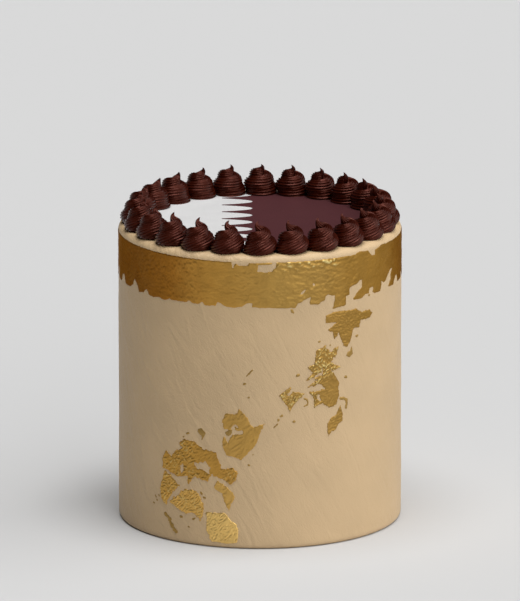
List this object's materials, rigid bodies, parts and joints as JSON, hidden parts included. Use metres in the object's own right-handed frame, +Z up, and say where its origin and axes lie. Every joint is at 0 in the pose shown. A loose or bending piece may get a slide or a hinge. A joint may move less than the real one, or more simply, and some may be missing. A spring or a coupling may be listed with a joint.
{
  "type": "flag cake",
  "caption": "Tall round iced cake with a serrated white and maroon flag on top, a ring of piped chocolate swirls, and a band and torn scraps of gold leaf on its side.",
  "frame": {"origin": "centre of the cake's foot, on the surface that it stands on", "axes": "+Z up, -Y towards the front, where the torn gold leaf is, and +X to the right seen from the front"},
  "size_m": [0.1612, 0.1612, 0.1878],
  "materials": {
    "icing": "soft satin caramel-coloured icing with fine spatula wrinkles",
    "flag_white": "matt white sugar sheet",
    "flag_maroon": "matt maroon sugar sheet",
    "chocolate": "satin piped chocolate cream with fine ridges",
    "gold": "thin wrinkled gold leaf, bright on its creases"
  },
  "bodies": {
    "root": {"cake": "icing", "flag_white": "flag_white", "flag_maroon": "flag_maroon", "swirl_01": "chocolate", "swirl_02": "chocolate", "swirl_03": "chocolate", "swirl_04": "chocolate", "swirl_05": "chocolate", "swirl_06": "chocolate", "swirl_07": "chocolate", "swirl_08": "chocolate", "swirl_09": "chocolate", "swirl_10": "chocolate", "swirl_11": "chocolate", "swirl_12": "chocolate", "swirl_13": "chocolate", "swirl_14": "chocolate", "swirl_15": "chocolate", "swirl_16": "chocolate", "swirl_17": "chocolate", "swirl_18": "chocolate", "swirl_19": "chocolate", "swirl_20": "chocolate", "swirl_21": "chocolate", "swirl_22": "chocolate", "swirl_23": "chocolate", "swirl_24": "chocolate", "gold_band": "gold", "gold_leaf_hand": "gold", "gold_leaf_crumpled": "gold", "gold_leaf_kite": "gold", "gold_leaf_blade": "gold", "gold_leaf_clasp": "gold", "gold_leaf_cloud": "gold", "gold_leaf_crest": "gold", "gold_leaf_shell": "gold", "gold_leaf_feather": "gold", "gold_leaf_foot": "gold"}
  },
  "joints": []
}
